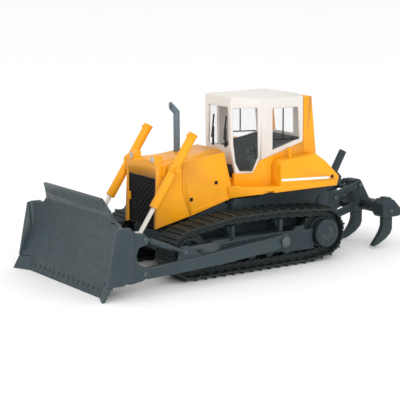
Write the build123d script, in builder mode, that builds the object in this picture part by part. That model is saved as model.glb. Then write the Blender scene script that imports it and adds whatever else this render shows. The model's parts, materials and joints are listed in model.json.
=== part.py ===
from build123d import *

import math
import os

# Toy crawler bulldozer at 1:50, millimetres. +Z is up, -Y is forward (blade), +X is the machine's left.
# The origin is on the ground, under the middle of the whole model.
# Fore-aft places ("y") are measured from the drive axle, and at() moves them into the model's frame.

drive_y = 30.0               # drive axle, from the middle of the model

# ---- running gear -----------------------------------------------------------------------------
wheel_base = 59.2            # drive axle to idler axle
drive_z = 10.8
idler_y = -wheel_base
idler_z = 9.8
chain_r = 8.2                # inner face of the track shoes round the idler and the sprocket
plate_t = 0.8                # shoe plate
grouser_h = 0.8
rail_h = 2.4                 # height of the chain rails inside the shoes
carrier_places = [(-41.5, 16.5), (-20.0, 16.5)]
carrier_r = 4.0              # inner face of the shoes over the carrier rollers
last_roller = (-8.0, plate_t + grouser_h + 4.0)
shoe_count = 42
track_in, track_out = 13.2, 24.4
rail_spans = [(16.2, 17.7), (20.3, 21.8)]
running_gap = 0.05           # radial clearance of every turning fit
axle_r = 1.5
idler_axle_r = 1.2
sprocket_teeth = 22
tooth_gap_r = 0.62

# ---- hull -------------------------------------------------------------------------------------
hood_half = 10.5
hood_wall = 1.0
hood_plateau_half = 7.0
hood_bevel = 0.85
hull_half = 12.4
deck_bottom, deck_top = 27.3, 29.6
deck_half = 20.0
cab_plan = [(-8.2, -32.0), (8.2, -32.0), (14.0, -21.9), (14.0, -2.7), (-14.0, -2.7), (-14.0, -21.9)]
cab_wall = 1.1
cab_top = 63.0
glass_t = 0.5

# ---- blade and its lift -----------------------------------------------------------------------
blade_half = 31.2
crease_x = 26.5
wing_sweep = 1.9             # how far the blade's ends come forward
end_plate_t = 1.2
edge_half = 25.1
arm_x = (27.2, 29.2)
arm_pivot = (-22.5, 11.0)
arm_pivot_r = 1.3
arm_pin = (-83.4, 7.4)
strut_pin = (-83.2, 19.4)
strut_foot = (-66.0, 12.6)
lift_x = 15.0
lift_pivot = (-61.2, 39.05)
barrel_r, lift_rod_r = 1.65, 0.8
lift_up, lift_down = 14.7, 15.5   # barrel above and below its trunnion
rod_in_barrel = 3.4          # how far the rod reaches into the lowered cylinder
lift_eye = (-76.6, 16.5)
lift_pin_r = 0.7
lift_eye_r = 1.3             # oversize, because the linkage is open here

# ---- ripper -----------------------------------------------------------------------------------
low_front, low_rear = (17.2, 11.0), (31.2, 14.6)
top_front, top_rear = (19.0, 19.4), (33.0, 23.0)
link_x = (3.6, 5.0)
link_pin_r = 0.8
ripper_trunnion = (22.05, 26.0)
ripper_rod_end = (14.22, 12.76)
ripper_barrel_r, ripper_rod_r = 1.5, 0.7
shank_places = (-18.2, 0.0, 18.2)
shank_t = 2.2


def at(points):
    """Side-view points, measured from the drive axle, as points in the model's frame."""
    return [(drive_y + y, z) for y, z in points]


def side_plate(points, x_start, x_end, mode=Mode.ADD):
    """A plate whose side view is a polygon, from x_start to x_end."""
    with BuildSketch(Plane.YZ.offset(x_start)) as outline:
        with BuildLine():
            Polyline(*at(points), close=True)
        make_face()
    extrude(outline.sketch, amount=x_end - x_start, mode=mode)


def block(x, y, z, mode=Mode.ADD):
    """A box given by its (low, high) spans."""
    middle = ((x[0] + x[1]) / 2, drive_y + (y[0] + y[1]) / 2, (z[0] + z[1]) / 2)
    with Locations(middle):
        Box(abs(x[1] - x[0]), abs(y[1] - y[0]), abs(z[1] - z[0]), mode=mode)


def disc(x_start, x_end, place, radius, mode=Mode.ADD):
    """A cylinder along X at a side-view place."""
    with Locations(Location(((x_start + x_end) / 2, drive_y + place[0], place[1]), (0, 90, 0))):
        Cylinder(radius, abs(x_end - x_start), mode=mode)


def bar(start, end, radius, mode=Mode.ADD):
    """A round bar between two points, whose y is measured from the drive axle."""
    first = Vector(start[0], drive_y + start[1], start[2])
    last = Vector(end[0], drive_y + end[1], end[2])
    with BuildSketch(Plane(origin=first, z_dir=last - first)) as outline:
        Circle(radius)
    extrude(outline.sketch, amount=(last - first).length, mode=mode)


def along(place, direction, distance):
    return (place[0] + direction[0] * distance, place[1] + direction[1] * distance)


def spread(side, span):
    """An x span on one side of the machine."""
    return side * span[0], side * span[1]


def finish(builder, name):
    builder.part.label = name
    export_step(builder.part, f"parts/{name}.step")


os.makedirs("parts", exist_ok=True)
sides = {"left": 1, "right": -1}


# ================================================================================ running gear
def chain_sketch(offset):
    """The area inside the chain line, grown by offset: a belt round the idler, the sprocket,
    the two carrier rollers and the last road roller."""
    circles = [((idler_y, idler_z), chain_r), ((0.0, drive_z), chain_r), (last_roller, carrier_r)]
    circles += [(place, carrier_r) for place in carrier_places]
    with BuildSketch(Plane.YZ) as area:
        for place, radius in circles:
            with Locations((drive_y + place[0], place[1])):
                Circle(radius + offset)
        make_hull()
    return area.sketch


def mirrored(source, name):
    """The same piece on the machine's right side."""
    with BuildPart() as copy:
        mirror(source.part, about=Plane.YZ)
    finish(copy, name)


def pair(source, name):
    """Writes a left-hand piece and its mirror image."""
    finish(source, f"{name}_left")
    mirrored(source, f"{name}_right")


chain_outer = chain_sketch(plate_t)
chain_inner = chain_sketch(0.0)
rail_inner = chain_sketch(-rail_h)
chain_line = chain_outer.face().outer_wire()

with BuildPart() as track_belt:
    with BuildPart(mode=Mode.PRIVATE) as shoes:
        extrude(chain_outer.moved(Location((track_in, 0, 0))), amount=track_out - track_in)
        extrude(
            chain_inner.moved(Location((track_in, 0, 0))), amount=track_out - track_in, mode=Mode.SUBTRACT)
        for shoe in range(shoe_count):
            station = (shoe + 0.5) * chain_line.length / shoe_count
            spot = chain_line.position_at(station, position_mode=PositionMode.LENGTH)
            way = chain_line.tangent_at(station, position_mode=PositionMode.LENGTH)
            tilt = math.degrees(math.atan2(way.Z, way.Y))
            with Locations(Location(((track_in + track_out) / 2, spot.Y, spot.Z), (tilt, 0, 0))):
                Box(track_out - track_in, 0.7, 2 * grouser_h)
    add(shoes.part)
    for rail_start, rail_end in rail_spans:
        with BuildPart(mode=Mode.PRIVATE) as rail:
            extrude(chain_inner.moved(Location((rail_start, 0, 0))), amount=rail_end - rail_start)
            extrude(
                rail_inner.moved(Location((rail_start, 0, 0))), amount=rail_end - rail_start,
                mode=Mode.SUBTRACT)
        add(rail.part)
pair(track_belt, "track_belt")

# The sprocket's teeth and the idler's flange run in the groove between the two chain rails.
drum_r = chain_r - rail_h - 0.15
tooth_tip_r = chain_r - 0.35
groove = (rail_spans[0][1] + 0.2, rail_spans[1][0] - 0.2)
drum = (rail_spans[0][0] - 0.3, rail_spans[1][1] + 0.3)
hub_r = 5.2
hub_face = 25.9

with BuildPart() as sprocket:
    disc(*drum, (0, drive_z), drum_r)
    disc(*groove, (0, drive_z), tooth_tip_r)
    with BuildSketch(Plane(origin=(groove[0], drive_y, drive_z), x_dir=(0, 1, 0), z_dir=(1, 0, 0))) as gaps:
        with PolarLocations(tooth_tip_r, sprocket_teeth):
            Circle(tooth_gap_r)
    extrude(gaps.sketch, amount=groove[1] - groove[0], mode=Mode.SUBTRACT)
    with BuildSketch(Plane(origin=(drum[1], drive_y, drive_z), x_dir=(0, 1, 0), z_dir=(1, 0, 0))) as dish:
        Circle(drum_r - 0.9)
        Circle(2.4, mode=Mode.SUBTRACT)
    extrude(dish.sketch, amount=-0.8, mode=Mode.SUBTRACT)
    disc(14.2, drum[0], (0, drive_z), 2.6)
    disc(10.0, 26.0, (0, drive_z), axle_r + running_gap, mode=Mode.SUBTRACT)
pair(sprocket, "sprocket")

with BuildPart() as final_drive_hub:
    disc(drum[1], 23.0, (0, drive_z), 2.4)
    disc(23.0, 24.7, (0, drive_z), hub_r - 0.35)
    disc(24.7, hub_face, (0, drive_z), hub_r)
    with Locations(Location((hub_face, drive_y, drive_z), (0, 90, 0))):
        with PolarLocations(3.9, 8):
            Cylinder(0.38, 0.5)
        Cylinder(1.7, 0.5)
    chamfer(
        final_drive_hub.edges().filter_by(GeomType.CIRCLE).filter_by(lambda e: abs(e.radius - hub_r) < 1e-3),
        0.3)
    disc(10.0, 24.4, (0, drive_z), axle_r + running_gap, mode=Mode.SUBTRACT)
pair(final_drive_hub, "final_drive_hub")

with BuildPart() as drive_axle:
    disc(-24.2, 24.2, (0, drive_z), axle_r)
finish(drive_axle, "drive_axle")

with BuildPart() as idler:
    disc(*drum, (idler_y, idler_z), drum_r)
    disc(*groove, (idler_y, idler_z), tooth_tip_r)
    for face, depth in ((drum[0], 1.2), (drum[1], -1.2)):
        with BuildSketch(
            Plane(origin=(face, drive_y + idler_y, idler_z), x_dir=(0, 1, 0), z_dir=(1, 0, 0))) as dish:
            Circle(drum_r - 1.0)
            Circle(2.3, mode=Mode.SUBTRACT)
        extrude(dish.sketch, amount=depth, mode=Mode.SUBTRACT)
    with BuildSketch(
        Plane(origin=(drum[0], drive_y + idler_y, idler_z), x_dir=(0, 1, 0), z_dir=(1, 0, 0))) as holes:
        with PolarLocations(3.5, 6):
            Circle(0.7)
    extrude(holes.sketch, amount=drum[1] - drum[0], mode=Mode.SUBTRACT)
    disc(10.0, 26.0, (idler_y, idler_z), idler_axle_r + running_gap, mode=Mode.SUBTRACT)
pair(idler, "idler")

yoke_in, yoke_out = (14.0, 15.5), (22.5, 24.0)
with BuildPart() as idler_axle:
    disc(yoke_in[0] - 0.2, yoke_out[1] + 0.25, (idler_y, idler_z), idler_axle_r)
    mirror(about=Plane.YZ)
finish(idler_axle, "idler_axles")

frame_in, frame_out = 15.8, 22.6
frame_low, frame_high = 6.0, 13.2
roller_r = 2.0
roller_z = grouser_h + plate_t + rail_h + roller_r + running_gap
roller_ys = [-48.0, -40.0, -32.0, -24.0, -16.0]
with BuildPart() as track_frame:
    side_plate(
        [
            (-50.6, frame_low), (-50.6, 12.6), (-49.6, frame_high), (-9.4, frame_high), (-8.5, 12.2),
            (-8.5, frame_low)],
        frame_in,
        frame_out,
    )
    # fork for the idler, with the tensioner's slot behind its axle
    for span in (yoke_in, yoke_out):
        side_plate([
            (-62.0, 8.2), (-62.0, 11.4), (-60.2, 13.0), (-49.0, frame_high), (-49.0, frame_low),
            (-60.2, 6.8)], *span)
    block((14.0, 24.0), (-50.6, -48.9), (frame_low, frame_high))
    disc(10.0, 26.0, (idler_y, idler_z), idler_axle_r, mode=Mode.SUBTRACT)
    # outer wear plate that runs back to the final drive, with the arm's trunnion boss
    side_plate(
        [(-50.6, frame_low), (-50.6, 12.4), (-21.0, 13.3), (-14.6, 13.3), (-13.6, 14.6), (
            -10.2, 14.6), (-9.4, 13.0),
         (-5.6, 13.0), (-5.9, 9.2), (-4.9, 5.4), (-18.0, 5.4), (-20.0, frame_low)],
        frame_out,
        24.1,
    )
    # carrier brackets: an upright plate under each carrier roller
    for place in carrier_places:
        post_y = place[0] - 0.2
        block((17.9, 23.6), (post_y - 0.65, post_y + 0.65), (frame_high - 0.5, 15.4))
        side_plate(
            [(post_y - 0.65, 15.3), (post_y - 0.65, 18.0), (post_y + 0.65, 18.0), (post_y + 0.65, 15.3)],
            22.1, 23.6)
        disc(16.2, 22.1, place, 1.5)
        block((17.9, 20.1), (post_y - 0.65, post_y + 0.65), (15.3, 17.6))
    for roller_y in roller_ys:
        for span in rail_spans:
            disc(*span, (roller_y, roller_z), roller_r)
        disc(frame_in, frame_out, (roller_y, roller_z), 1.2)
    # flank stiffeners
    for rib_y in (-46.0, -36.0, -30.5):
        block((24.1, 24.5), (rib_y - 0.5, rib_y + 0.5), (9.0, 12.0))
    disc(10.0, 26.0, arm_pivot, arm_pivot_r, mode=Mode.SUBTRACT)
pair(track_frame, "track_frame")


# ================================================================================ chassis
screw_places = [(-55.0, 8.2), (-42.0, 8.2), (-27.0, 8.2), (-6.0, 8.2)]
screw_r = 0.9

with BuildPart() as chassis_tub:
    # front part, with the core that the hood sits over
    side_plate([(-62.0, 8.2), (-63.6, 9.8), (-63.6, 16.0), (-33.0, 23.4), (-33.0, 8.2)], -9.2, 9.2)
    side_plate([
        (-51.2, 16.0), (-51.2, 21.0), (-54.2, 30.2), (-54.2, 38.0), (-38.6, 39.4), (-36.4, 30.0),
        (-34.6, 22.0)], -8.9, 8.9)
    # hull between the tracks
    side_plate(
        [(-34.0, 8.2), (-34.0, 23.4), (-33.0, 25.2), (-22.0, 25.2), (
            -22.0, deck_bottom), (8.6, deck_bottom),
         (10.2, 25.0), (10.2, 12.0), (7.4, 8.2)],
        -hull_half,
        hull_half,
    )
    # cross members that carry the two track frames
    for member in ((-34.5, -29.5), (-15.5, -10.5)):
        block((-frame_in, frame_in), member, (8.4, 12.4))
    # bosses of the final drives and of the ripper's upper pivot
    for side in (1, -1):
        disc(side * hull_half, side * 13.0, (9.0 - 1.6, 20.6), 2.0)
        disc(side * hull_half, side * 13.0, (0, drive_z), 3.4)
        block(spread(side, (hull_half, 12.7)), (-20.0, 4.0), (23.2, 23.9))
    disc(-20, 20, (0, drive_z), axle_r, mode=Mode.SUBTRACT)
    for screw_y, _ in screw_places:
        with Locations((0, drive_y + screw_y, 8.2 + 2.0)):
            Cylinder(screw_r, 4.0, mode=Mode.SUBTRACT)
finish(chassis_tub, "chassis_tub")

with BuildPart() as chassis_screws:
    for screw_y, _ in screw_places:
        with BuildSketch(Plane.XY.offset(8.2 + 0.5)) as shank:
            with Locations((0, drive_y + screw_y)):
                Circle(screw_r)
        extrude(shank.sketch, amount=3.5)
        with BuildSketch(Plane.XY.offset(8.2 + 0.5)) as drive_slot:
            with Locations((0, drive_y + screw_y)):
                Rectangle(1.2, 0.3)
                Rectangle(0.3, 1.2)
        extrude(drive_slot.sketch, amount=0.4, mode=Mode.SUBTRACT)
finish(chassis_screws, "chassis_screws")

# ================================================================================ hood and nose
nose_low, nose_top = (-66.3, 17.4), (-65.0, 40.9)
seam_top, seam_knee, seam_foot = (-54.8, 41.3), (-54.8, 29.8), (-51.5, 20.6)
seam_gap = 0.15
hood_rear = [(-36.6, 43.6), (-36.0, 40.5), (-33.4, 30.6), (-32.9, 25.4)]
grille_half, grille_low, grille_high = 9.15, 17.5, 35.5
light_x = (6.0, 8.4)
lens_x = (6.5, 7.9)


def trim_bevels(top_line, far_z=70.0):
    """Cuts the two sloping shoulders along a cover's top line, given by its two ends."""
    for side in (1, -1):
        sections = []
        for y, z in top_line:
            triangle = [
                (side * hood_plateau_half, z), (
                    side * (hood_half + 0.1), z - hood_bevel), (side * 12, far_z)]
            with BuildSketch(
                Plane(origin=(0, drive_y + y, 0), x_dir=(1, 0, 0), z_dir=(0, -1, 0))) as section:
                with BuildLine():
                    Polyline(*triangle, close=True)
                make_face()
            sections.append(section.sketch)
        with BuildPart(mode=Mode.PRIVATE) as wedge:
            loft(sections)
        add(wedge.part, mode=Mode.SUBTRACT)


with BuildPart() as radiator_housing:
    side_plate(
        [nose_low, nose_top, (-64.4, 41.3), (seam_top[0], seam_top[1] + 0.2), seam_knee, seam_foot],
        -hood_half, hood_half)
    trim_bevels([(-66.5, 41.0), (-54.0, 41.5)])
    block((-grille_half, grille_half), (-67.0, -64.3), (grille_low - 1.0, grille_high), mode=Mode.SUBTRACT)
    for side in (1, -1):
        block(spread(side, light_x), (-65.1, -61.8), (40.3, 43.5))
        # the cheek that the lift cylinder's yoke is bolted to
        side_plate(
            [(-64.6, 33.5), (-64.4, 40.2), (-59.2, 41.4), (-57.8, 37.0), (-60.5, 33.0)], side * hood_half,
            side * (hood_half + 0.5))
finish(radiator_housing, "radiator_housing")

with BuildPart() as radiator_grille:
    block((-grille_half, grille_half), (-64.9, -64.3), (grille_low, grille_high))
    bar_count = 17
    for index in range(bar_count):
        bar_x = (index - (bar_count - 1) / 2) * 2 * (grille_half - 0.4) / (bar_count - 1)
        block((bar_x - 0.16, bar_x + 0.16), (-65.3, -64.9), (grille_low, grille_high))
    for level in range(1, 14):
        bar_z = grille_low + level * (grille_high - grille_low) / 14
        block((-grille_half, grille_half), (-65.15, -64.9), (bar_z - 0.16, bar_z + 0.16))
finish(radiator_grille, "radiator_grille")

with BuildPart() as headlights:
    for side in (1, -1):
        block(spread(side, lens_x), (-65.5, -65.1), (41.0, 43.2))
finish(headlights, "headlights")

hood_front = [
    (seam_top[0] + seam_gap, seam_top[1]), (seam_knee[0] + seam_gap, seam_knee[1]),
    (seam_foot[0] + seam_gap, seam_foot[1])]
stack_place = (-5.0, -47.0)
stack_r = 1.2
with BuildPart() as engine_hood:
    side_plate(hood_front + hood_rear[::-1], -hood_half, hood_half)
    trim_bevels([(seam_top[0] - 0.5, 41.3), (-35.5, 43.6)])
    # hollow underside
    side_plate(
        [(-56.0, 10.0), (-56.0, 39.6), (-37.6, 42.0), (-37.0, 39.5), (-34.6, 30.0), (-33.9, 10.0)],
        -hood_half + hood_wall,
        hood_half - hood_wall,
        mode=Mode.SUBTRACT,
    )
    with BuildSketch(Plane.XY.offset(38.0)) as stack_hole:
        with Locations((stack_place[0], drive_y + stack_place[1])):
            Circle(stack_r + running_gap)
    extrude(stack_hole.sketch, amount=8, mode=Mode.SUBTRACT)
    # raised lower rail along each side
    for side in (1, -1):
        side_plate(
            [(-50.6, 20.9), (-50.2, 22.4), (-33.4, 26.9), (-33.0, 25.4)], side * hood_half,
            side * (hood_half + 0.35))
finish(engine_hood, "engine_hood")

latch_size = 1.3
with BuildPart() as hood_latches:
    for side in (1, -1):
        for y, z in ((-51.0, 26.7), (-40.1, 31.8)):
            block(
                spread(side, (hood_half, hood_half + 0.25)), (y - latch_size / 2, y + latch_size / 2),
                (z - latch_size / 2, z + latch_size / 2))
finish(hood_latches, "hood_latches")

stack_top = 56.6
stack_bend = 4.4
with BuildPart() as exhaust_stack:
    bar((*stack_place, 40.2), (*stack_place, stack_top), stack_r)
    with BuildSketch(
        Plane(origin=(stack_place[0], drive_y + stack_place[1], stack_top), z_dir=(0, -1, 1))) as elbow:
        Circle(stack_r)
    extrude(elbow.sketch, amount=stack_bend)
    with Locations((stack_place[0], drive_y + stack_place[1], stack_top)):
        Sphere(stack_r)
    bore_end = (stack_place[0], stack_place[1] - 3.6, stack_top + 3.6)
    bar(
        (stack_place[0], stack_place[1] - 1.2, stack_top + 1.2), bore_end, stack_r - 0.35,
        mode=Mode.SUBTRACT)
    block((-8, -2), (-56.0, stack_place[1] - 2.6), (stack_top - 4, stack_top + 8), mode=Mode.SUBTRACT)
finish(exhaust_stack, "exhaust_stack")

# ================================================================================ deck, tanks, tail
with BuildPart() as deck:
    side_plate(
        [(-35.0, 25.4), (-35.0, 30.0), (-31.2, 30.0), (-31.2, deck_top), (8.4, deck_top), (8.4, deck_bottom),
         (-22.0, deck_bottom)], -deck_half, deck_half)
    with BuildSketch(Plane.XY.offset(20.0)) as deck_plan:
        with BuildLine():
            Polyline(
                *[(x, drive_y + y) for x, y in [
                    (-10.95, -35.0), (-20.0, -21.6), (-20.0, 8.4), (20.0, 8.4), (
                        20.0, -21.6), (10.95, -35.0),
                    (10.95, -32.2), (-10.95, -32.2)]],
                close=True,
            )
        make_face()
    extrude(deck_plan.sketch, amount=15.0, mode=Mode.INTERSECT)
    for side in (1, -1):
        # foot recess in the fender's edge
        side_plate(
            [(-28.6, 25.0), (-27.4, 27.7), (-20.6, 28.1), (-19.9, 25.0)], side * 18.2, side * 22.0,
            mode=Mode.SUBTRACT)
finish(deck, "deck")

tank_profile = [
    (-17.6, deck_top), (-17.6, 37.2), (-16.2, 38.9), (-1.3, 40.3), (3.1, 37.4), (9.5, 31.2), (9.9, 30.4),
    (8.9, 27.2), (8.4, 27.2), (8.4, deck_top)]
with BuildPart() as side_tank:
    side_plate(tank_profile, 14.2, deck_half)
    chamfer(
        side_tank.edges().filter_by(Plane.YZ).filter_by(lambda e: e.center().X > 19 and e.center().Z > 36),
        0.35)
    fillet(side_tank.edges().filter_by(Axis.Z).filter_by(
        lambda e: e.center().X > 19 and e.center().Y < drive_y - 17), 0.8)
    # filler neck with its cap
    bar((17.4, -11.2, 38.0), (17.4, -11.9, 42.6), 0.65)
    bar((17.4, -11.9, 42.6), (17.4, -11.95, 43.2), 0.9)
pair(side_tank, "side_tank")

with BuildPart() as tail_body:
    side_plate([
        (3.4, deck_top), (3.4, 38.6), (4.2, 37.6), (9.2, 31.4), (9.6, 30.4), (8.7, 27.5), (8.4, 27.5),
        (8.4, deck_top)], -14.1, 14.1)
    for index in range(7):
        slat = -9.0 + index * 3.0
        side_plate(
            [(4.6, 36.2), (6.2, 34.2), (6.9, 34.9), (5.4, 36.9)], slat - 0.8, slat + 0.8, mode=Mode.SUBTRACT)
finish(tail_body, "tail_body")

# ================================================================================ cab
def cab_area(shrink, level):
    """The cab's plan, moved inwards by shrink, as a sketch at a height."""
    with BuildSketch(Plane.XY.offset(level)) as area:
        with BuildLine():
            Polyline(*[(x, drive_y + y) for x, y in cab_plan], close=True)
        make_face()
        if shrink:
            offset(amount=-shrink, kind=Kind.INTERSECTION, mode=Mode.REPLACE)
    return area.sketch


sill = [(-33.0, 34.0), (-25.0, 34.0), (-22.6, 38.9), (-16.8, 40.3), (-1.3, 44.7), (0.0, 44.7)]
floor_z = 32.0
with BuildPart() as cab_base:
    extrude(cab_area(0.0, deck_top), amount=16.0)
    extrude(cab_area(cab_wall, floor_z), amount=20.0, mode=Mode.SUBTRACT)
    side_plate(sill + [(0.0, 50.0), (-33.0, 50.0)], -15, 15, mode=Mode.SUBTRACT)
    # deck plate and hood clearance at the front
    block((-15, 15), (-33.0, -30.9), (29.0, 34.2), mode=Mode.SUBTRACT)
    block((-15, 15), (-2.8, 0), (29.0, 30.2), mode=Mode.SUBTRACT)
finish(cab_base, "cab_base")

window_low, window_high = 34.7, 58.2
door_a, door_b = cab_plan[1], cab_plan[2]
door_len = math.hypot(door_b[0] - door_a[0], door_b[1] - door_a[1])
door_dir = ((door_b[0] - door_a[0]) / door_len, (door_b[1] - door_a[1]) / door_len)


def door_plane(side):
    """A plane on the door's outer face: x runs rearwards along the door, y is up."""
    origin = (side * door_a[0], drive_y + door_a[1], 0)
    return Plane(
        origin=origin, x_dir=(side * door_dir[0], door_dir[1], 0),
        z_dir=(door_dir[1], -side * door_dir[0], 0))


door_outline = [
    (1.0, 45.0), (0.9, window_high), (9.9, window_high), (10.2, 40.0), (8.0, window_low), (3.4, window_low),
    (1.8, 38.0)]
side_outline = [(-16.9, 42.2), (-16.9, 57.6), (-5.2, 57.4), (-4.2, 45.6)]
front_outline = [(-6.6, 44.0), (-6.2, 58.4), (6.2, 58.4), (6.6, 44.0)]
rear_outline = [(-9.0, 47.0), (-8.6, 57.0), (8.6, 57.0), (9.0, 47.0)]
glass_back = 0.35            # how far the panes sit behind the cab's outer face


def window_sketches(side_names=(1, -1)):
    """One sketch for each pane, on the outer face of its wall."""
    found = []
    for side in side_names:
        with BuildSketch(door_plane(side)) as pane:
            with BuildLine():
                Polyline(*door_outline, close=True)
            make_face()
        found.append(pane.sketch)
        with BuildSketch(Plane(origin=(side * 14.0, drive_y, 0), x_dir=(0, 1, 0), z_dir=(1, 0, 0))) as pane:
            with BuildLine():
                Polyline(*side_outline, close=True)
            make_face()
        found.append(pane.sketch)
    with BuildSketch(Plane(origin=(0, drive_y - 32.0, 0), x_dir=(1, 0, 0), z_dir=(0, -1, 0))) as pane:
        with BuildLine():
            Polyline(*front_outline, close=True)
        make_face()
    found.append(pane.sketch)
    with BuildSketch(Plane(origin=(0, drive_y - 2.7, 0), x_dir=(1, 0, 0), z_dir=(0, -1, 0))) as pane:
        with BuildLine():
            Polyline(*rear_outline, close=True)
        make_face()
    found.append(pane.sketch)
    return found


def inwards(sketch):
    """The direction from a pane's face towards the cab's middle."""
    centre = sketch.face().center()
    to_middle = Vector(0, drive_y - 16.0, centre.Z) - centre
    normal = sketch.face().normal_at()
    return normal if normal.dot(to_middle) > 0 else normal * -1


roof_eave = 60.6
crown_side_r, crown_length_r = 62.0, 130.0
with BuildPart() as cab_shell:
    extrude(cab_area(0.0, 34.0), amount=cab_top - 34.0)
    # crowned roof
    with BuildPart(mode=Mode.PRIVATE) as crown:
        with Locations(Location((0, drive_y - 17.0, cab_top - crown_side_r), (90, 0, 0))):
            Cylinder(crown_side_r, 60)
        with Locations(Location((0, drive_y - 17.0, cab_top - crown_length_r), (0, 90, 0))):
            Cylinder(crown_length_r, 60, mode=Mode.INTERSECT)
    add(crown.part, mode=Mode.INTERSECT)
    extrude(cab_area(cab_wall, 30.0), amount=roof_eave - 30.0, mode=Mode.SUBTRACT)
    side_plate([(-33.0, 30.0)] + sill + [(0.0, 30.0)], -15, 15, mode=Mode.SUBTRACT)
    side_plate(
        [(-33.0, 30.0), (-33.0, 44.5), (-32.0, 44.0), (-30.4, 34.0), (-30.4, 30.0)], -15, 15,
        mode=Mode.SUBTRACT)
    for pane in window_sketches():
        extrude(pane, amount=1.5, dir=inwards(pane), mode=Mode.SUBTRACT)
        extrude(pane, amount=0.5, dir=inwards(pane) * -1, mode=Mode.SUBTRACT)
finish(cab_shell, "cab_shell")

with BuildPart() as cab_glazing:
    for pane in window_sketches():
        way = inwards(pane)
        extrude(pane.moved(Location(way * glass_back)), amount=glass_t, dir=way)
finish(cab_glazing, "cab_glazing")

with BuildPart() as operator_seat:
    block((-2.6, 2.6), (-17.5, -11.5), (36.2, 38.0))
    side_plate([(-12.6, 37.4), (-11.4, 47.6), (-9.9, 47.8), (-10.6, 36.6)], -2.5, 2.5)
    block((-1.5, 1.5), (-11.3, -10.1), (47.4, 49.6))
    block((-1.8, 1.8), (-16.5, -12.5), (floor_z, 36.2))
    for side in (1, -1):
        block(spread(side, (2.9, 3.9)), (-16.5, -11.3), (39.6, 40.5))
        block(spread(side, (2.5, 3.1)), (-12.4, -11.4), (37.6, 40.5))
finish(operator_seat, "operator_seat")

with BuildPart() as control_consoles:
    for side in (1, -1):
        side_plate(
            [(-22.0, floor_z), (-21.0, 37.4), (-11.0, 38.4), (-11.0, floor_z)], side * 5.2, side * 8.6)
    side_plate([(-29.4, floor_z), (-29.6, 42.0), (-27.4, 41.0), (-26.4, floor_z)], -5.2, 5.2)
    for side in (1, -1):
        for index in range(2):
            foot = (side * (6.2 + 1.4 * index), -19.6 + 1.2 * index, 36.5)
            bar(foot, (foot[0], foot[1] - 1.2, 42.6), 0.32)
            with Locations((foot[0], drive_y + foot[1] - 1.2, 42.8)):
                Sphere(0.62)
finish(control_consoles, "control_consoles")

wiper_arm = [(3.9, 43.6), (4.9, 43.6), (5.0, 50.6), (4.5, 50.6)]
wiper_blade = [(3.7, 46.4), (4.2, 46.3), (5.7, 55.2), (5.2, 55.3)]
with BuildPart() as wipers:
    for shift in (0.8, -7.2):
        for outline, near, depth in ((wiper_arm, 0.45, 0.45), (wiper_blade, 0.75, 0.45)):
            with BuildSketch(
                Plane(origin=(0, drive_y - 32.0 - near, 0), x_dir=(1, 0, 0), z_dir=(0, -1, 0))) as flat:
                with BuildLine():
                    Polyline(*[(x + shift, z) for x, z in outline], close=True)
                make_face()
            extrude(flat.sketch, amount=-depth)
finish(wipers, "wipers")

post_in, post_out = 10.4, 14.1
with BuildPart() as rops_frame:
    for side in (1, -1):
        side_plate(
            [(-2.6, 61.2), (0.9, 61.2), (3.3, 39.4), (3.3, 38.7), (-2.6, 40.4)], side * post_in,
            side * post_out)
    side_plate([(-2.6, 57.6), (-2.6, 61.2), (0.9, 61.2), (1.3, 57.6)], -post_out, post_out)
    side_plate(
        [(-2.6, deck_top), (-2.6, 46.2), (0.2, 46.2), (2.6, 44.4), (3.3, 39.4), (3.3, deck_top)], -post_out,
        post_out)
finish(rops_frame, "rops_frame")


# ================================================================================ blade lift
def unit(direction):
    size = math.hypot(*direction)
    return (direction[0] / size, direction[1] / size)


lift_dir = unit((lift_eye[0] - lift_pivot[0], lift_eye[1] - lift_pivot[1]))
lift_top = along(lift_pivot, lift_dir, -lift_up)
lift_foot = along(lift_pivot, lift_dir, lift_down)

trunnion_r = 1.0
with BuildPart() as lift_bracket:
    # plate on the radiator housing's cheek, with the trunnion pin that the barrel swings on
    side_plate(
        [(-64.0, 36.2), (-63.8, 40.4), (-60.0, 41.6), (-58.4, 39.6), (-59.0, 36.6), (-61.0, 35.2)],
        hood_half + 0.5, 12.3)
    disc(12.3, 17.3, lift_pivot, trunnion_r)
pair(lift_bracket, "lift_bracket")

with BuildPart() as lift_barrel:
    bar((lift_x, *lift_top), (lift_x, *lift_foot), barrel_r)
    bar((lift_x, *lift_top), (lift_x, *along(lift_top, lift_dir, 0.5)), barrel_r + 0.15)
    disc(lift_x - 2.0, lift_x + 1.5, lift_pivot, 1.9)
    # hose port at the cap end
    port = along(lift_top, lift_dir, 0.5)
    bar((lift_x, *port), (lift_x, port[0] - 2.4, port[1] + 0.3), 0.45)
    disc(lift_x - 5, lift_x + 5, lift_pivot, trunnion_r + running_gap, mode=Mode.SUBTRACT)
    bar(
        (lift_x, *along(lift_pivot, lift_dir, 1.6)), (lift_x, *along(lift_foot, lift_dir, 1.0)),
        lift_rod_r + running_gap, mode=Mode.SUBTRACT)
pair(lift_barrel, "lift_barrel")

with BuildPart() as lift_rod:
    rod_start = along(lift_foot, lift_dir, -rod_in_barrel)
    bar((lift_x, *rod_start), (lift_x, *along(lift_eye, lift_dir, -1.9)), lift_rod_r)
    disc(lift_x - 0.9, lift_x + 0.9, lift_eye, 2.1)
    disc(lift_x - 2.0, lift_x + 2.0, lift_eye, lift_eye_r, mode=Mode.SUBTRACT)
pair(lift_rod, "lift_rod")

# ================================================================================ blade
face_top, face_mid, face_low = (-94.9, 33.0), (-91.9, 16.0), (-96.6, 4.9)
skin = 1.5
edge_foot = (-98.4, 0.0)


def blade_section(shift, low, mid, top, thickness):
    """The curved plate's section in side view, moved forwards by shift."""
    front = [(y - shift, z) for y, z in (low, mid, top)]
    back = [(y + thickness, z) for y, z in front]
    return front, back


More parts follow.
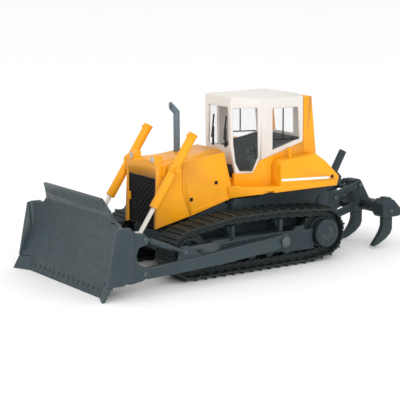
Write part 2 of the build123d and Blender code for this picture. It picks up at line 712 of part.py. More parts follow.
def curved_face(plane_x, shift):
    """The moldboard's section as a face at a given x."""
    front, back = blade_section(shift, face_low, face_mid, face_top, skin)
    with BuildSketch(Plane.YZ.offset(plane_x)) as face:
        with BuildLine():
            ThreePointArc(*at(front))
            Line(*at([front[2], back[2]]))
            ThreePointArc(*at(back))
            Line(*at([back[0], front[0]]))
        make_face()
    return face.sketch


with BuildPart() as moldboard:
    extrude(curved_face(-crease_x, 0.0), amount=2 * crease_x)
    for side in (1, -1):
        with BuildPart(mode=Mode.PRIVATE) as wing:
            loft([curved_face(side * crease_x, 0.0), curved_face(side * blade_half, wing_sweep)])
        add(wing.part)
    # the spill guard narrows towards its top, and the wings end lower
    for side in (1, -1):
        with BuildSketch(Plane.XZ.offset(-drive_y + 80.0)) as corner:
            with BuildLine():
                Polyline(
                    (side * 19.9, 33.2), (side * 22.7, 27.0), (side * 26.0, 24.8),
                    (side * 33.5, 24.1), (side * 33.5, 36.0), (side * 19.9, 36.0), close=True)
            make_face()
        extrude(corner.sketch, amount=30.0, mode=Mode.SUBTRACT)
    # stiffeners across the back
    side_plate([(-93.8, 31.6), (-92.6, 31.9), (-92.2, 30.4), (-93.4, 30.2)], -20.2, 20.2)
    side_plate([(-90.6, 19.0), (-88.4, 19.0), (-88.4, 22.4), (-91.0, 22.6)], -29.0, 29.0)
    side_plate([(-91.6, 9.4), (-88.0, 9.4), (-88.0, 6.4), (-93.6, 6.4)], -29.0, 29.0)
    side_plate([(-95.4, 5.2), (-93.8, 3.6), (-92.8, 3.9), (-92.8, 7.0), (-94.0, 7.6)], -28.0, 28.0)
    for rib_x in (-22.0, -8.0, 8.0, 22.0):
        side_plate(
            [(-91.0, 20.0), (-89.0, 20.0), (-88.6, 14.0), (-88.6, 8.0), (-91.6, 8.0), (-90.8, 14.0)],
            rib_x - 0.5, rib_x + 0.5)
    for side in (1, -1):
        # fin behind the guard's sloping end
        side_plate(
            [(-92.2, 25.4), (-92.6, 29.4), (-90.4, 28.6), (-88.9, 24.0), (-89.4, 21.0), (-91.2, 21.0)],
            side * 19.4, side * 20.4)
        # lugs of the lift rods
        for lug in ((lift_x - 2.2, lift_x - 1.1), (lift_x + 1.1, lift_x + 2.2)):
            side_plate(
                [
                    (-91.4, 20.6), (-88.0, 22.0), (-78.0, 18.6), (-75.0, 18.0), (-74.9, 15.4),
                    (-77.2, 14.7), (-88.0, 9.8), (-91.6, 9.8)],
                *spread(side, lug),
            )
        # end ribs: an upper lobe for the strut and a lower one for the arm
        side_plate(
            [(-92.6, 22.6), (-87.3, 22.4), (-86.4, 21.6), (-83.4, 21.0), (-81.8, 19.6), (
                -82.3, 17.6), (-85.8, 16.6),
             (-86.8, 13.9), (-86.0, 11.2), (-83.6, 9.8), (-81.6, 8.6), (-81.6, 6.2), (-84.6, 4.9), (
                 -89.0, 4.4), (-93.6, 5.2)],
            *spread(side, (29.4, 30.8)),
        )
        # end plates
        side_plate(
            [
                (-95.3, 24.0), (-93.4, 24.4), (-89.9, 24.3), (-89.1, 23.2), (-88.9, 10.5), (-90.6, 6.5),
                (-92.6, 4.7), (-98.9, 4.7), (-99.2, 5.0)],
            *spread(side, (blade_half, blade_half + end_plate_t)),
        )
    disc(-40, 40, lift_eye, lift_pin_r, mode=Mode.SUBTRACT)
    for pin in (arm_pin, strut_pin):
        disc(-40, 40, pin, 0.7, mode=Mode.SUBTRACT)
finish(moldboard, "moldboard")

edge_t = 1.0
seams = [-edge_half, -9.1, 9.1, edge_half]
edge_section = [
    face_low, edge_foot, (edge_foot[0] + edge_t, 0.0), (face_low[0] + edge_t, face_low[1] - 0.2),
    (face_low[0] + 0.4, face_low[1])]
with BuildPart() as cutting_edge:
    for start, end in zip(seams, seams[1:]):
        side_plate(edge_section, start + 0.1, end - 0.1)
finish(cutting_edge, "cutting_edge")

tip_x = 32.5
with BuildPart() as end_bit:
    sections = []
    for section_x, outline in (
        (edge_half + 0.1, edge_section[:4]),
        (tip_x, [(-98.9, 4.7), (-101.6, 0.0), (-100.4, 0.0), (-97.9, 4.5)]),
    ):
        with BuildSketch(Plane.YZ.offset(section_x)) as section:
            with BuildLine():
                Polyline(*at(outline), close=True)
            make_face()
        sections.append(section.sketch)
    loft(sections)
    mirror(about=Plane.YZ)
finish(end_bit, "end_bits")

bolt_count = 14
edge_slope = Vector(0, edge_foot[0] - face_low[0], edge_foot[1] - face_low[1])
with BuildPart() as edge_bolts:
    for index in range(bolt_count):
        bolt_x = (index - (bolt_count - 1) / 2) * 3.5
        bolt_at = Vector(
            bolt_x, drive_y + (face_low[0] + edge_foot[0]) / 2, (face_low[1] + edge_foot[1]) / 2)
        with BuildSketch(
            Plane(origin=bolt_at, x_dir=(1, 0, 0), z_dir=(0, edge_slope.Z, -edge_slope.Y))) as head:
            Circle(0.55)
        extrude(head.sketch, amount=0.3)
finish(edge_bolts, "edge_bolts")

arm_rear_r = 2.5
with BuildPart() as push_arm:
    side_plate(
        [(-81.4, 5.0), (-72.0, 5.2), (-49.4, 6.2), (-27.5, 8.2), (-24.6, 8.7), (-24.4, 13.3), (
            -27.5, 13.0), (-59.4, 10.2),
         (-72.0, 9.2), (-81.4, 8.9)],
        *arm_x,
    )
    disc(*arm_x, arm_pin, 2.1)
    side_plate([(-83.2, 5.3), (-81.0, 5.0), (-81.0, 8.9), (-83.2, 9.4)], *arm_x)
    disc(*arm_x, arm_pivot, arm_rear_r)
    # welded rim along the outer face
    side_plate(
        [(-80.0, 8.2), (-59.4, 9.5), (-27.5, 12.3), (-27.5, 13.0), (-59.4, 10.2), (-80.0, 8.9)], arm_x[1],
        arm_x[1] + 0.25)
    # strut bracket
    side_plate([(-68.4, 9.0), (-66.6, 14.4), (-64.0, 14.2), (-57.6, 9.9)], 27.2, 28.0)
    disc(20, 40, arm_pivot, arm_pivot_r + running_gap, mode=Mode.SUBTRACT)
    disc(20, 40, arm_pin, 0.7, mode=Mode.SUBTRACT)
    disc(20, 40, strut_foot, 0.6, mode=Mode.SUBTRACT)
pair(push_arm, "push_arm")

strut_x = 28.65
strut_dir = unit((strut_foot[0] - strut_pin[0], strut_foot[1] - strut_pin[1]))
with BuildPart() as tilt_strut:
    bar((strut_x, *along(strut_pin, strut_dir, 1.0)), (strut_x, *along(strut_foot, strut_dir, -1.0)), 0.7)
    bar((strut_x, *along(strut_pin, strut_dir, 3.4)), (strut_x, *along(strut_pin, strut_dir, 12.0)), 1.0)
    disc(28.15, 29.15, strut_pin, 1.5)
    disc(28.15, 29.15, strut_foot, 1.3)
    disc(20, 40, strut_pin, 0.7, mode=Mode.SUBTRACT)
    disc(20, 40, strut_foot, 0.6, mode=Mode.SUBTRACT)
pair(tilt_strut, "tilt_strut")

with BuildPart() as blade_pins:
    for side in (1, -1):
        disc(*spread(side, (26.6, 31.1)), arm_pin, 0.7)
        disc(*spread(side, (27.9, 31.1)), strut_pin, 0.7)
        disc(*spread(side, (26.9, 29.5)), strut_foot, 0.6)
        disc(*spread(side, (lift_x - 2.5, lift_x + 2.5)), lift_eye, lift_pin_r)
finish(blade_pins, "blade_pins")

with BuildPart() as arm_trunnions:
    for side in (1, -1):
        disc(*spread(side, (frame_in + 1.0, arm_x[1] + 0.3)), arm_pivot, arm_pivot_r)
        disc(*spread(side, (arm_x[1] + 0.3, arm_x[1] + 0.8)), arm_pivot, 1.9)
finish(arm_trunnions, "arm_trunnions")

# ================================================================================ ripper
ear_x = (2.0, 3.1)
with BuildPart() as ripper_bracket:
    side_plate(
        [(10.2, 12.0), (10.2, 24.6), (13.0, 24.6), (14.0, 22.0), (14.0, 9.4), (11.0, 9.4)], -8.6, 8.6)
    for side in (1, -1):
        side_plate(
            [
                (13.0, 8.8), (13.0, 22.2), (19.6, 22.2), (21.2, 20.6), (21.0, 18.0), (19.4, 11.0),
                (18.6, 8.8)],
            *spread(side, (5.4, 6.8)),
        )
        side_plate(
            [
                (12.0, 20.0), (12.0, 24.6), (18.5, 28.6), (23.0, 29.0), (25.2, 26.8), (24.6, 24.2),
                (20.6, 22.6), (17.0, 20.6)],
            *spread(side, ear_x),
        )
    # way through for the ripper cylinder's rod and its lever
    block((-1.9, 1.9), (11.4, 14.0), (9.0, 19.0), mode=Mode.SUBTRACT)
    for pivot in (low_front, top_front, ripper_trunnion):
        disc(-12, 12, pivot, link_pin_r, mode=Mode.SUBTRACT)
finish(ripper_bracket, "ripper_bracket")

link_r = 1.5


def link_bars(front, rear, radius, spans):
    """Side bars with rounded ends between two pivots."""
    way = unit((rear[0] - front[0], rear[1] - front[1]))
    across = (-way[1] * radius * 0.92, way[0] * radius * 0.92)
    corners = [
        (front[0] + across[0], front[1] + across[1]), (rear[0] + across[0], rear[1] + across[1]),
        (rear[0] - across[0], rear[1] - across[1]), (front[0] - across[0], front[1] - across[1])]
    for span in spans:
        side_plate(corners, *span)
        disc(*span, front, radius)
        disc(*span, rear, radius)


both_bars = [link_x, (-link_x[1], -link_x[0])]
with BuildPart() as ripper_lower_link:
    link_bars(low_front, low_rear, link_r, both_bars)
    disc(-link_x[1], link_x[1], low_front, link_r)
    # short lever that the ripper cylinder pushes on
    link_bars(low_front, ripper_rod_end, 1.3, [(-0.6, 0.6)])
    disc(-12, 12, low_front, link_pin_r + running_gap, mode=Mode.SUBTRACT)
    disc(-12, 12, low_rear, link_pin_r, mode=Mode.SUBTRACT)
    disc(-12, 12, ripper_rod_end, 0.5, mode=Mode.SUBTRACT)
finish(ripper_lower_link, "ripper_lower_link")

with BuildPart() as ripper_upper_link:
    link_bars(top_front, top_rear, 1.35, both_bars)
    way = unit((top_rear[0] - top_front[0], top_rear[1] - top_front[1]))
    brace = along(top_front, way, 10.0)
    bar((-link_x[1], *brace), (link_x[1], *brace), 0.9)
    disc(-12, 12, top_front, link_pin_r + running_gap, mode=Mode.SUBTRACT)
    disc(-12, 12, top_rear, link_pin_r + 0.35, mode=Mode.SUBTRACT)
finish(ripper_upper_link, "ripper_upper_link")

pocket_outline = [
    (31.2, 17.6), (33.0, 19.1), (36.6, 19.0), (41.6, 13.9), (40.4, 12.5), (38.6, 12.2), (
        32.2, 12.2), (31.2, 13.2)]
shank_slot = (33.1, 37.7)
with BuildPart() as ripper_beam:
    side_plate([
        (31.4, 24.4), (32.2, 24.9), (35.2, 24.6), (36.0, 23.6), (41.0, 15.2), (41.0, 13.2), (38.4, 12.0),
        (32.4, 12.0), (31.6, 13.0)], -2.5, 2.5)
    side_plate([(29.9, 13.4), (29.9, 15.7), (32.0, 16.6), (32.0, 12.6), (31.0, 12.6)], -2.5, 2.5)
    side_plate([(34.8, 12.8), (34.8, 16.6), (40.4, 16.6), (40.6, 13.2), (39.6, 12.4)], -15.5, 15.5)
    for place in shank_places:
        if place:
            side_plate(pocket_outline, place - 3.0, place + 3.0)
            side_plate([(32.6, 17.6), (33.6, 19.9), (36.2, 19.7), (39.2, 16.2)], place - 1.6, place + 1.6)
        block(
            (place - shank_t / 2 - 0.05, place + shank_t / 2 + 0.05),
            (shank_slot[0] - 0.05, shank_slot[1] + 0.05), (5.0, 17.6), mode=Mode.SUBTRACT)
        disc(place - 4, place + 4, (35.4, 14.6), 0.7, mode=Mode.SUBTRACT)
    for pivot in (low_rear, top_rear):
        disc(-12, 12, pivot, link_pin_r + (running_gap if pivot == low_rear else 0.0), mode=Mode.SUBTRACT)
finish(ripper_beam, "ripper_beam")

shank_outline = [
    (33.1, 17.5), (33.1, 8.6), (32.2, 6.4), (30.1, 3.6), (28.2, 1.5), (28.4, 0.9), (31.0, 1.6), (34.6, 3.4),
    (37.0, 5.4), (37.7, 7.2), (37.7, 17.5)]
for place, shank_name in zip(shank_places, ("right", "center", "left")):
    with BuildPart() as shank:
        side_plate(shank_outline, place - shank_t / 2, place + shank_t / 2)
        disc(place - 4, place + 4, (35.4, 14.6), 0.7, mode=Mode.SUBTRACT)
    finish(shank, f"ripper_shank_{shank_name}")

with BuildPart() as beam_pins:
    for place in shank_places:
        reach = 3.3 if place else 2.8
        disc(place - reach, place + reach, (35.4, 14.6), 0.7)
    disc(-5.4, 5.4, top_rear, link_pin_r)
finish(beam_pins, "beam_pins")

# pins held by the bracket, by the beam and by the lower link, each in the body that carries it
with BuildPart() as bracket_pins:
    disc(-7.2, 7.2, low_front, link_pin_r)
    for side in (1, -1):
        disc(*spread(side, (3.3, 7.2)), top_front, link_pin_r)
    disc(-ear_x[1] - 0.2, ear_x[1] + 0.2, ripper_trunnion, link_pin_r)
finish(bracket_pins, "bracket_pins")

with BuildPart() as lower_link_pins:
    disc(-5.4, 5.4, low_rear, link_pin_r)
    disc(-1.7, 1.7, ripper_rod_end, 0.5)
finish(lower_link_pins, "lower_link_pins")

ripper_dir = unit((ripper_rod_end[0] - ripper_trunnion[0], ripper_rod_end[1] - ripper_trunnion[1]))
ripper_cap = along(ripper_trunnion, ripper_dir, -12.0)
ripper_gland = along(ripper_trunnion, ripper_dir, 5.4)
with BuildPart() as ripper_barrel:
    bar((0, *ripper_cap), (0, *ripper_gland), ripper_barrel_r)
    disc(-1.8, 1.8, ripper_trunnion, 1.9)
    disc(-5, 5, ripper_trunnion, link_pin_r + running_gap, mode=Mode.SUBTRACT)
    bar(
        (0, *along(ripper_trunnion, ripper_dir, 1.4)), (0, *along(ripper_gland, ripper_dir, 1.0)),
        ripper_rod_r + running_gap, mode=Mode.SUBTRACT)
finish(ripper_barrel, "ripper_barrel")

with BuildPart() as ripper_rod:
    bar(
        (0, *along(ripper_trunnion, ripper_dir, 3.2)), (0, *along(ripper_rod_end, ripper_dir, -1.6)),
        ripper_rod_r)
    for side in (1, -1):
        side_plate(
            [
                along(ripper_rod_end, ripper_dir, -3.2), (ripper_rod_end[0] - 1.2, ripper_rod_end[1]),
                (ripper_rod_end[0] + 1.0, ripper_rod_end[1] - 0.4)],
            *spread(side, (0.7, 1.5)),
        )
        disc(*spread(side, (0.7, 1.5)), ripper_rod_end, 1.2)
    block(
        (-1.5, 1.5), (ripper_rod_end[0] + 0.6, ripper_rod_end[0] + 2.0),
        (ripper_rod_end[1] + 1.9, ripper_rod_end[1] + 3.2))
    disc(-5, 5, ripper_rod_end, 0.85, mode=Mode.SUBTRACT)
finish(ripper_rod, "ripper_rod")
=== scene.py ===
import json
import math

import bmesh
import bpy
from mathutils import Matrix, Vector, kdtree


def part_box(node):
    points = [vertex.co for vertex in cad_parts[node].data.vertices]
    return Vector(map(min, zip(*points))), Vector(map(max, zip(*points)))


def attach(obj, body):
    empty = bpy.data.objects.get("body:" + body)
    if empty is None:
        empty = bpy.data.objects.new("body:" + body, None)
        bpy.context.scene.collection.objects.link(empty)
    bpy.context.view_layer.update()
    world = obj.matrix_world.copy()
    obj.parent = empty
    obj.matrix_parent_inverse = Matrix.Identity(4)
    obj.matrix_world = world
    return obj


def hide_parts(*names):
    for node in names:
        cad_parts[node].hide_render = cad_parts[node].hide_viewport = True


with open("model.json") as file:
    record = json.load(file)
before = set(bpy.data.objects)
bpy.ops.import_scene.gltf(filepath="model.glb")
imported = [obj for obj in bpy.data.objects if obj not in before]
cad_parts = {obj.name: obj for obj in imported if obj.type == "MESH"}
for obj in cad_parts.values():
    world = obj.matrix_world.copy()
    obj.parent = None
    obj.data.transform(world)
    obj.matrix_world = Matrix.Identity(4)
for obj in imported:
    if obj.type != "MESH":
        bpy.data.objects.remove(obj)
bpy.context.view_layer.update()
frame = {"nodes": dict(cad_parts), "record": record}

MM = 0.001
NODE_SLOT = {row["node"]: row["material_slot"] for row in frame["record"]["subparts"]}
NODE_BODY = {
    node: body
    for body, nodes in frame["record"]["behaviour"]["bodies"].items()
    for node in nodes
}
DRIVE_Y = 30.0           # drive axle from the middle of the model, mm


# ------------------------------------------------------------------------------ camera, light, floor
def make_camera():
    azimuth, elevation, roll = (math.radians(angle) for angle in (56.06, 10.44, -0.24))
    back = Vector((
        math.sin(azimuth) * math.cos(elevation),
        -math.cos(azimuth) * math.cos(elevation),
        math.sin(elevation),
    ))
    right = Vector((math.cos(azimuth), math.sin(azimuth), 0))
    up = back.cross(right)
    turned_right = right * math.cos(roll) + up * math.sin(roll)
    turned_up = up * math.cos(roll) - right * math.sin(roll)
    camera = bpy.data.objects.new("camera", bpy.data.cameras.new("camera"))
    bpy.context.scene.collection.objects.link(camera)
    camera.matrix_world = Matrix.Translation((0.44103, -0.30691, 0.12173)) @ Matrix(
        (turned_right, turned_up, back)
    ).transposed().to_4x4()
    camera.data.sensor_width = 36.0
    camera.data.lens = 130.9
    camera.data.clip_start = 0.01
    bpy.context.scene.camera = camera


def softbox(name, place, target, size, power, colour=(1.0, 1.0, 1.0)):
    """A square area light at place, facing target."""
    light = bpy.data.lights.new(name, "AREA")
    light.shape = "SQUARE"
    light.size = size
    light.energy = power
    light.color = colour
    lamp = bpy.data.objects.new(name, light)
    bpy.context.scene.collection.objects.link(lamp)
    lamp.location = place
    lamp.rotation_mode = "QUATERNION"
    lamp.rotation_quaternion = (Vector(target) - Vector(place)).to_track_quat("-Z", "Y")


def make_studio():
    world = bpy.data.worlds.new("studio")
    bpy.context.scene.world = world
    world.use_nodes = True
    background = world.node_tree.nodes["Background"]
    background.inputs["Color"].default_value = (1.0, 1.0, 1.0, 1.0)
    background.inputs["Strength"].default_value = 1.0
    softbox("key", (0.8, -0.3, 0.42), (0.0, 0.0, 0.02), 0.5, 2.9)
    softbox("fill", (-0.25, -0.8, 0.4), (0.0, 0.0, 0.02), 0.6, 0.9)
    bpy.context.scene.view_settings.view_transform = "Standard"

    mesh = bpy.data.meshes.new("floor")
    half = 6.0
    corners = [(-half, -half, 0), (half, -half, 0), (half, half, 0), (-half, half, 0)]
    mesh.from_pydata(corners, [], [(0, 1, 2, 3)])
    floor = bpy.data.objects.new("floor", mesh)
    bpy.context.scene.collection.objects.link(floor)
    material = bpy.data.materials.new("pale_floor")
    material.use_nodes = True
    shader = material.node_tree.nodes["Principled BSDF"]
    shader.inputs["Base Color"].default_value = (0.97, 0.97, 0.97, 1.0)
    shader.inputs["Roughness"].default_value = 0.6
    shader.inputs["Specular IOR Level"].default_value = 0.2
    mesh.materials.append(material)


# ------------------------------------------------------------------------------ materials
class Shader:
    """A Principled material whose node tree is built step by step."""

    def __init__(self, name):
        self.material = bpy.data.materials.new(name)
        self.material.use_nodes = True
        self.tree = self.material.node_tree
        self.bsdf = self.tree.nodes["Principled BSDF"]

    def node(self, kind, **inputs):
        node = self.tree.nodes.new(kind)
        for key, value in inputs.items():
            node.inputs[key.replace("_", " ")].default_value = value
        return node

    def link(self, source, target):
        self.tree.links.new(source, target)

    def noise(self, scale, detail=3.0):
        place = self.tree.nodes.new("ShaderNodeTexCoord")
        noise = self.node("ShaderNodeTexNoise", Scale=scale, Detail=detail)
        self.link(place.outputs["Object"], noise.inputs["Vector"])
        return noise.outputs["Fac"]

    def spread(self, factor, low, high, start=0.35, end=0.65):
        """factor, stretched from start..end to low..high."""
        node = self.tree.nodes.new("ShaderNodeMapRange")
        for key, value in (("From Min", start), ("From Max", end), ("To Min", low), ("To Max", high)):
            node.inputs[key].default_value = value
        self.link(factor, node.inputs["Value"])
        return node.outputs["Result"]

    def mix(self, factor, first, second):
        node = self.tree.nodes.new("ShaderNodeMix")
        node.data_type = "RGBA"
        self.link(factor, node.inputs["Factor"])
        for key, value in (("A", first), ("B", second)):
            socket = next(s for s in node.inputs if s.name == key and s.type == "RGBA")
            if isinstance(value, tuple):
                socket.default_value = (*value, 1.0)
            else:
                self.link(value, socket)
        return next(s for s in node.outputs if s.type == "RGBA")

    def edges(self, radius, gain):
        """1 on the convex and concave edges, 0 on flat ground, from rounded normals."""
        rounded = self.tree.nodes.new("ShaderNodeBevel")
        rounded.samples = 4
        rounded.inputs["Radius"].default_value = radius
        geometry = self.tree.nodes.new("ShaderNodeNewGeometry")
        dot = self.tree.nodes.new("ShaderNodeVectorMath")
        dot.operation = "DOT_PRODUCT"
        self.link(rounded.outputs["Normal"], dot.inputs[0])
        self.link(geometry.outputs["True Normal"], dot.inputs[1])
        return self.spread(dot.outputs["Value"], gain, 0.0, 0.75, 0.99)

    def bump(self, height, distance, strength=1.0):
        node = self.node("ShaderNodeBump", Strength=strength, Distance=distance)
        self.link(height, node.inputs["Height"])
        self.link(node.outputs["Normal"], self.bsdf.inputs["Normal"])


def scaled(colour, factor):
    return tuple(min(channel * factor, 1.0) for channel in colour)


def plastic(name, colour, rough, grain=0.02, tone=0.05, edge=0.2, coat=0.0, shine=0.3):
    """Moulded or painted plastic: fine grain, faint changes of tone, and a painted highlight that lightens
    the edges a little.
    """
    shader = Shader(name)
    cloudy = shader.mix(
        shader.spread(shader.noise(90.0), 0.0, 1.0), scaled(colour, 1 - tone), scaled(colour, 1 + tone))
    # painted highlight: the convex and concave edges are lightened towards white, standing in for the light
    # they catch
    edge_highlight = tuple(channel + (1 - channel) * 0.16 for channel in colour)
    highlighted = shader.mix(shader.edges(0.25 * MM, edge), cloudy, edge_highlight)
    shader.link(highlighted, shader.bsdf.inputs["Base Color"])
    shader.link(
        shader.spread(shader.noise(420.0, 4.0), rough - 0.06, rough + 0.08), shader.bsdf.inputs["Roughness"])
    shader.bump(shader.noise(3800.0, 2.0), grain * MM)
    shader.bsdf.inputs["Specular IOR Level"].default_value = shine
    shader.bsdf.inputs["Coat Weight"].default_value = coat
    shader.bsdf.inputs["Coat Roughness"].default_value = 0.18
    return shader.material


def steel(name, colour, rough):
    """Turned metal pins and screws with fine streaks."""
    shader = Shader(name)
    streak = shader.noise(2600.0, 5.0)
    streaked = shader.mix(shader.spread(streak, 0, 1), scaled(colour, 0.8), scaled(colour, 1.2))
    shader.link(streaked, shader.bsdf.inputs["Base Color"])
    shader.link(shader.spread(streak, rough - 0.08, rough + 0.1), shader.bsdf.inputs["Roughness"])
    shader.bump(streak, 0.006 * MM)
    shader.bsdf.inputs["Metallic"].default_value = 1.0
    return shader.material


def clear_plastic(name):
    """The moulded window insert: clear, with a trace of haze and of mould flow."""
    shader = Shader(name)
    shader.bsdf.inputs["Base Color"].default_value = (0.42, 0.46, 0.46, 1.0)
    shader.link(shader.spread(shader.noise(90.0), 0.03, 0.07), shader.bsdf.inputs["Alpha"])
    shader.link(shader.spread(shader.noise(300.0), 0.03, 0.09), shader.bsdf.inputs["Roughness"])
    shader.bump(shader.noise(120.0, 2.0), 0.01 * MM, 0.4)
    return shader.material


def lamp_lens(name):
    """A silver lens with fine vertical flutes."""
    shader = Shader(name)
    place = shader.tree.nodes.new("ShaderNodeTexCoord")
    flutes = shader.node("ShaderNodeTexWave", Scale=900.0, Distortion=0.3)
    shader.link(place.outputs["Object"], flutes.inputs["Vector"])
    fluted = shader.mix(flutes.outputs["Fac"], (0.36, 0.38, 0.42), (0.6, 0.62, 0.66))
    shader.link(fluted, shader.bsdf.inputs["Base Color"])
    shader.link(shader.spread(flutes.outputs["Fac"], 0.2, 0.35, 0, 1), shader.bsdf.inputs["Roughness"])
    shader.bump(flutes.outputs["Fac"], 0.03 * MM)
    shader.bsdf.inputs["Metallic"].default_value = 0.7
    return shader.material


def make_materials():
    return {
        # edge sets the strength of the painted edge highlight in each plastic
        "body_yellow": plastic("yellow_plastic", (0.86, 0.355, 0.006), 0.38, coat=0.04, edge=0.2, shine=0.25),
        "cab_white": plastic("white_plastic", (0.70, 0.665, 0.62), 0.38, tone=0.02, coat=0.1, edge=0.15),
        "window_clear": clear_plastic("clear_plastic"),
        "lamp_silver": lamp_lens("lamp_lens"),
        "trim_black": plastic("black_plastic", (0.008, 0.008, 0.009), 0.5, tone=0.2, edge=0.25, shine=0.2),
        "stack_grey": plastic("stack_plastic", (0.125, 0.175, 0.215), 0.45, edge=0.2),
        "rod_grey": plastic("rod_plastic", (0.66, 0.62, 0.56), 0.4, edge=0.1),
        "track_black": plastic(
            "track_plastic", (0.017, 0.025, 0.025), 0.55, grain=0.04, tone=0.15, edge=0.3, shine=0.22),
        "interior_dark": plastic("interior_plastic", (0.03, 0.045, 0.046), 0.5, tone=0.1, edge=0.3),
        "steel_pin": steel("pin_steel", (0.12, 0.135, 0.145), 0.42),
        "frame_grey": plastic("frame_plastic", (0.032, 0.05, 0.057), 0.5, grain=0.03, tone=0.08, edge=0.3),
        # painted shade: a darker copy of the frame grey for the low parts that sit in shadow
        "shaded_frame_grey": plastic("shaded_frame_plastic", (0.018, 0.032, 0.038), 0.52, grain=0.03, tone=0.1, edge=0.3),
        "decal_white": plastic("white_print", (0.86, 0.84, 0.78), 0.5, grain=0.005, tone=0.02, edge=0.0),
    }


# ------------------------------------------------------------------------------ mesh tools
def new_piece(name, mesh, body, slot, material=None):
    piece = bpy.data.objects.new(name, mesh)
    bpy.context.scene.collection.objects.link(piece)
    mesh.materials.clear()
    mesh.materials.append(materials[material or slot])
    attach(piece, body)
    return piece


def round_edges(piece, width, segments=2, angle=32):
    bevel = piece.modifiers.new("rounded_edges", "BEVEL")
    bevel.width = width * MM
    bevel.segments = segments
    bevel.limit_method = "ANGLE"
    bevel.angle_limit = math.radians(angle)
    bevel.use_clamp_overlap = False
    bevel.harden_normals = True
    piece.data.shade_smooth()


MERGE_DISTANCE = 1e-7              # m
FLAT_ANGLE = math.radians(0.3)     # below it two triangles are one flat face
ROUNDED_ANGLE = math.radians(30)   # above it an edge is rounded
SHARP_ANGLE = math.radians(22)     # above it an edge that is not rounded stays sharp
CREASE_ANGLE = math.radians(3)     # above it two flat panels meet in a crease
PANEL_WIDTH = 1.2                  # mm, the narrowest flat panel
FOLD_AREA = 0.003                  # mm2, the smallest fold that counts
NARROWING_ROUNDS = 6


def has_room(edge, width):
    """True where a rounding of this width cannot run into another edge."""
    length = edge.calc_length()
    if length < 2.5 * width:
        return False
    if any(face.calc_area() / length < 2.4 * width for face in edge.link_faces):
        return False
    return all(
        other.calc_length() > 2.3 * width for vert in edge.verts for other in vert.link_edges)


def is_crease(edge):
    """True between two flat panels, false between the narrow facets of a curve."""
    length = edge.calc_length()
    return length > 0 and max(face.calc_area() for face in edge.link_faces) / length > PANEL_WIDTH * MM


def folded_corners(piece):
    """The corners of polygons that cross themselves, once the piece is rounded."""
    rounded = piece.evaluated_get(bpy.context.evaluated_depsgraph_get())
    mesh = rounded.to_mesh()
    mesh.calc_loop_triangles()
    covered = [0.0] * len(mesh.polygons)
    for triangle in mesh.loop_triangles:
        covered[triangle.polygon_index] += triangle.area
    found = [
        mesh.vertices[index].co.copy()
        for polygon, area in zip(mesh.polygons, covered) if area - polygon.area > FOLD_AREA * MM * MM
        for index in polygon.vertices]
    rounded.to_mesh_clear()
    return found


def narrow_near(piece, corners, reach):
    """Halve the rounding of the edges whose both ends lie near the corners."""
    tree = kdtree.KDTree(len(corners))
    for index, corner in enumerate(corners):
        tree.insert(corner, index)
    tree.balance()
    mesh = piece.data
    weights = mesh.attributes["bevel_weight_edge"].data
    for edge in mesh.edges:
        if weights[edge.index].value and all(
                tree.find(mesh.vertices[vert].co)[2] < reach for vert in edge.vertices):
            halved = weights[edge.index].value / 2
            weights[edge.index].value = halved if halved > 0.1 else 0.0
    mesh.update()


def moulded(node, width, material=None):
    """A CAD node with the rounded edges that a moulded part has."""
    mesh = frame["nodes"][node].data.copy()
    bm = bmesh.new()
    bm.from_mesh(mesh)
    bmesh.ops.remove_doubles(bm, verts=bm.verts, dist=MERGE_DISTANCE)
    bmesh.ops.dissolve_limit(bm, angle_limit=FLAT_ANGLE, verts=bm.verts, edges=bm.edges)
    weight = bm.edges.layers.float.get("bevel_weight_edge") or bm.edges.layers.float.new("bevel_weight_edge")
    shares = (1.0,) if node.startswith("sprocket") else (1.0, 0.6, 0.35)
    for face in bm.faces:
        face.smooth = True
    for edge in bm.edges:
        turn = edge.calc_face_angle(math.pi) if len(edge.link_faces) == 2 else math.pi
        share = next((share for share in shares if has_room(edge, width * MM * share)), 0.0)
        if turn > ROUNDED_ANGLE and len(edge.link_faces) == 2 and share:
            edge[weight] = share
        elif turn > SHARP_ANGLE or (
                node != "moldboard" and turn > CREASE_ANGLE and is_crease(edge)):
            edge.smooth = False
    bm.to_mesh(mesh)
    bm.free()
    piece = new_piece(f"moulded_{node}", mesh, NODE_BODY[node], NODE_SLOT[node], material)
    bevel = piece.modifiers.new("rounded_edges", "BEVEL")
    bevel.width = width * MM
    bevel.segments = 2
    bevel.limit_method = "WEIGHT"
    bevel.use_clamp_overlap = False
    bevel.harden_normals = True
    for _ in range(NARROWING_ROUNDS):
        corners = folded_corners(piece)
        if not corners:
            break
        narrow_near(piece, corners, 1.6 * width * MM)
    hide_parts(node)


def add_prism(bm, outline, start, end, place):
    """A prism between two x values from a closed outline. place turns (x, u, v) into a point in metres."""
    near = [bm.verts.new(place(start, u, v)) for u, v in outline]
    far = [bm.verts.new(place(end, u, v)) for u, v in outline]
    bm.faces.new(near)
    bm.faces.new(far[::-1])
    count = len(outline)
    for index in range(count):
        after = (index + 1) % count
        bm.faces.new((near[after], near[index], far[index], far[after]))


def finish_mesh(bm, name):
    bmesh.ops.recalc_face_normals(bm, faces=bm.faces)
    mesh = bpy.data.meshes.new(name)
    bm.to_mesh(mesh)
    bm.free()
    return mesh


def circle(radius, count=16, centre=(0.0, 0.0)):
    angles = [2 * math.pi * index / count for index in range(count)]
    return [(centre[0] + radius * math.cos(a), centre[1] + radius * math.sin(a)) for a in angles]


# ------------------------------------------------------------------------------ tracks
# the wheels that the belt goes round: place (y, z) and radius, mm
WHEELS = [
    ((-59.2, 9.8), 8.2), ((0.0, 10.8), 8.2), ((-8.0, 5.6), 4.0), ((-41.5, 16.5), 4.0), ((-20.0, 16.5), 4.0)]
SHOES = 42
TRACK_IN, TRACK_OUT = 13.2, 24.4
RAILS = ((16.2, 17.7), (20.3, 21.8))


